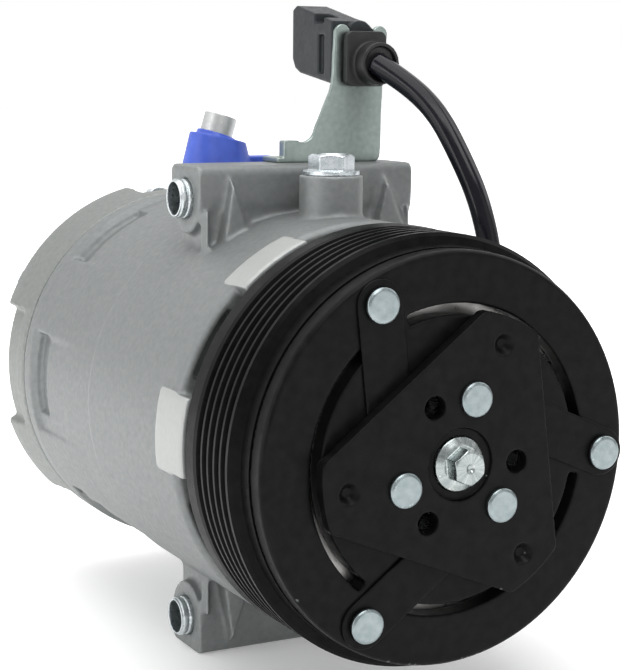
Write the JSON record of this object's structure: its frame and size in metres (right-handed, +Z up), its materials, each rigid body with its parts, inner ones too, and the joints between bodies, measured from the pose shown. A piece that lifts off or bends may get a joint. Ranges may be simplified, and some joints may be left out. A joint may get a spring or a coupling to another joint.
{
  "type": "automotive air-conditioning compressor",
  "caption": "Belt-driven swash-plate air-conditioning compressor with a magnetic clutch, mount bars and a coil connector on a bracket.",
  "frame": {"origin": "on the shaft axis, in the middle plane of the belt grooves", "axes": "+Y along the shaft to the rear, the pulley faces -Y, +Z up, +X to the right seen from the front"},
  "size_m": [0.1118, 0.1974, 0.1805],
  "materials": {
    "cast_housing": "cast, satin",
    "cast_head": "cast, satin",
    "gasket": "matt",
    "zinc_bolt": "zinc plated",
    "zinc_sleeve": "zinc plated, grooved",
    "machined_aluminium": "machined",
    "piston_alloy": "coated",
    "spring_steel": "hardened",
    "ground_steel": "ground",
    "forged_steel": "machined",
    "valve_brass": "turned",
    "bearing_steel": "polished",
    "seal_rubber": "moulded",
    "black_pulley": "satin black coat",
    "black_clutch": "satin black coat",
    "zinc_rivet": "zinc plated",
    "coil_steel": "black phosphate",
    "coil_copper": "enamelled copper wire",
    "bracket_zinc": "yellow-green zinc",
    "connector_plastic": "moulded",
    "boot_rubber": "moulded",
    "terminal_tin": "tin plated",
    "lead_sleeve": "glossy shrink sleeve",
    "blue_plastic": "moulded"
  },
  "bodies": {
    "housing": {"main_housing": "cast_housing", "rear_head": "cast_head", "head_gasket": "gasket", "case_bolts": "zinc_bolt", "mount_sleeves": "zinc_sleeve", "oil_plug": "zinc_bolt", "cylinder_block": "machined_aluminium", "suction_reed": "spring_steel", "valve_plate": "ground_steel", "discharge_reed": "spring_steel", "retainer_plate": "ground_steel", "control_valve": "valve_brass", "relief_valve": "zinc_bolt", "front_needle_bearing": "bearing_steel", "rear_needle_bearing": "bearing_steel", "thrust_bearing": "bearing_steel", "shaft_seal": "seal_rubber", "seal_snap_ring": "spring_steel", "bearing_snap_ring": "spring_steel", "coil_snap_ring": "spring_steel", "bearing_inner_race": "bearing_steel", "coil_shell": "coil_steel", "coil_winding": "coil_copper", "bracket": "bracket_zinc", "bracket_screw": "zinc_bolt", "connector_housing": "connector_plastic", "connector_pins": "terminal_tin", "connector_boot": "boot_rubber", "coil_lead": "lead_sleeve", "coil_gland": "boot_rubber", "port_cap": "blue_plastic", "port_cap_stud": "machined_aluminium"},
    "pulley": {"pulley": "black_pulley", "bearing_outer_race": "bearing_steel"},
    "bearing_cage": {"bearing_balls": "bearing_steel"},
    "shaft": {"shaft": "ground_steel", "lug_plate": "forged_steel", "destroke_spring": "spring_steel", "hub": "ground_steel", "hub_plate": "black_clutch", "hub_rivets": "zinc_rivet", "leaf_springs": "black_clutch", "centre_bolt": "zinc_bolt", "shim": "spring_steel"},
    "armature": {"armature_plate": "black_clutch", "armature_rivets": "zinc_rivet"},
    "swash_plate": {"swash_plate": "ground_steel", "guide_pins": "ground_steel"},
    "piston_1": {"piston_1": "piston_alloy"},
    "shoes_1": {"shoes_1": "ground_steel"},
    "piston_2": {"piston_2": "piston_alloy"},
    "shoes_2": {"shoes_2": "ground_steel"},
    "piston_3": {"piston_3": "piston_alloy"},
    "shoes_3": {"shoes_3": "ground_steel"},
    "piston_4": {"piston_4": "piston_alloy"},
    "shoes_4": {"shoes_4": "ground_steel"},
    "piston_5": {"piston_5": "piston_alloy"},
    "shoes_5": {"shoes_5": "ground_steel"},
    "piston_6": {"piston_6": "piston_alloy"},
    "shoes_6": {"shoes_6": "ground_steel"}
  },
  "joints": [
    {"name": "pulley_spin", "type": "hinge", "parent": "housing", "child": "pulley", "pos_m": [0, 0, 0], "axis": [0, 1, 0], "continuous": true},
    {"name": "bearing_cage_spin", "type": "hinge", "parent": "housing", "child": "bearing_cage", "pos_m": [0, 0, 0], "axis": [0, 1, 0], "continuous": true},
    {"name": "shaft_spin", "type": "hinge", "parent": "housing", "child": "shaft", "pos_m": [0, 0, 0], "axis": [0, 1, 0], "continuous": true},
    {"name": "armature_engage", "type": "slide", "parent": "shaft", "child": "armature", "axis": [0, 1, 0], "range_m": [0, 0.0005], "stiffness_N_per_m": 20000},
    {"name": "swash_tilt", "type": "hinge", "parent": "housing", "child": "swash_plate", "pos_m": [0, 0.072, 0.0315], "axis": [-1, 0, 0], "range_deg": [0, 17]},
    {"name": "piston_1_slide", "type": "slide", "parent": "housing", "child": "piston_1", "axis": [0, -1, 0], "range_m": [0, 0.0013]},
    {"name": "shoes_1_swivel", "type": "hinge", "parent": "piston_1", "child": "shoes_1", "pos_m": [0.01575, 0.072, 0.02728], "axis": [-1, 0, 0], "range_deg": [0, 17]},
    {"name": "piston_2_slide", "type": "slide", "parent": "housing", "child": "piston_2", "axis": [0, -1, 0], "range_m": [0, 0.00957]},
    {"name": "shoes_2_swivel", "type": "hinge", "parent": "piston_2", "child": "shoes_2", "pos_m": [0.0315, 0.072, 0], "axis": [-1, 0, 0], "range_deg": [0, 17]},
    {"name": "piston_3_slide", "type": "slide", "parent": "housing", "child": "piston_3", "axis": [0, -1, 0], "range_m": [0, 0.01785]},
    {"name": "shoes_3_swivel", "type": "hinge", "parent": "piston_3", "child": "shoes_3", "pos_m": [0.01575, 0.072, -0.02728], "axis": [-1, 0, 0], "range_deg": [0, 17]},
    {"name": "piston_4_slide", "type": "slide", "parent": "housing", "child": "piston_4", "axis": [0, -1, 0], "range_m": [0, 0.01785]},
    {"name": "shoes_4_swivel", "type": "hinge", "parent": "piston_4", "child": "shoes_4", "pos_m": [-0.01575, 0.072, -0.02728], "axis": [-1, 0, 0], "range_deg": [0, 17]},
    {"name": "piston_5_slide", "type": "slide", "parent": "housing", "child": "piston_5", "axis": [0, -1, 0], "range_m": [0, 0.00957]},
    {"name": "shoes_5_swivel", "type": "hinge", "parent": "piston_5", "child": "shoes_5", "pos_m": [-0.0315, 0.072, 0], "axis": [-1, 0, 0], "range_deg": [0, 17]},
    {"name": "piston_6_slide", "type": "slide", "parent": "housing", "child": "piston_6", "axis": [0, -1, 0], "range_m": [0, 0.0013]},
    {"name": "shoes_6_swivel", "type": "hinge", "parent": "piston_6", "child": "shoes_6", "pos_m": [-0.01575, 0.072, 0.02728], "axis": [-1, 0, 0], "range_deg": [0, 17]}
  ],
  "couplings": [
    {"joint": "bearing_cage_spin", "follows": "pulley_spin", "ratio": 0.55556},
    {"joint": "piston_1_slide", "follows": "swash_tilt", "m_per_rad": 0.0043152},
    {"joint": "shoes_1_swivel", "follows": "swash_tilt", "ratio": 1},
    {"joint": "piston_2_slide", "follows": "swash_tilt", "m_per_rad": 0.032209},
    {"joint": "shoes_2_swivel", "follows": "swash_tilt", "ratio": 1},
    {"joint": "piston_3_slide", "follows": "swash_tilt", "m_per_rad": 0.060102},
    {"joint": "shoes_3_swivel", "follows": "swash_tilt", "ratio": 1},
    {"joint": "piston_4_slide", "follows": "swash_tilt", "m_per_rad": 0.060102},
    {"joint": "shoes_4_swivel", "follows": "swash_tilt", "ratio": 1},
    {"joint": "piston_5_slide", "follows": "swash_tilt", "m_per_rad": 0.032209},
    {"joint": "shoes_5_swivel", "follows": "swash_tilt", "ratio": 1},
    {"joint": "piston_6_slide", "follows": "swash_tilt", "m_per_rad": 0.0043152},
    {"joint": "shoes_6_swivel", "follows": "swash_tilt", "ratio": 1}
  ]
}
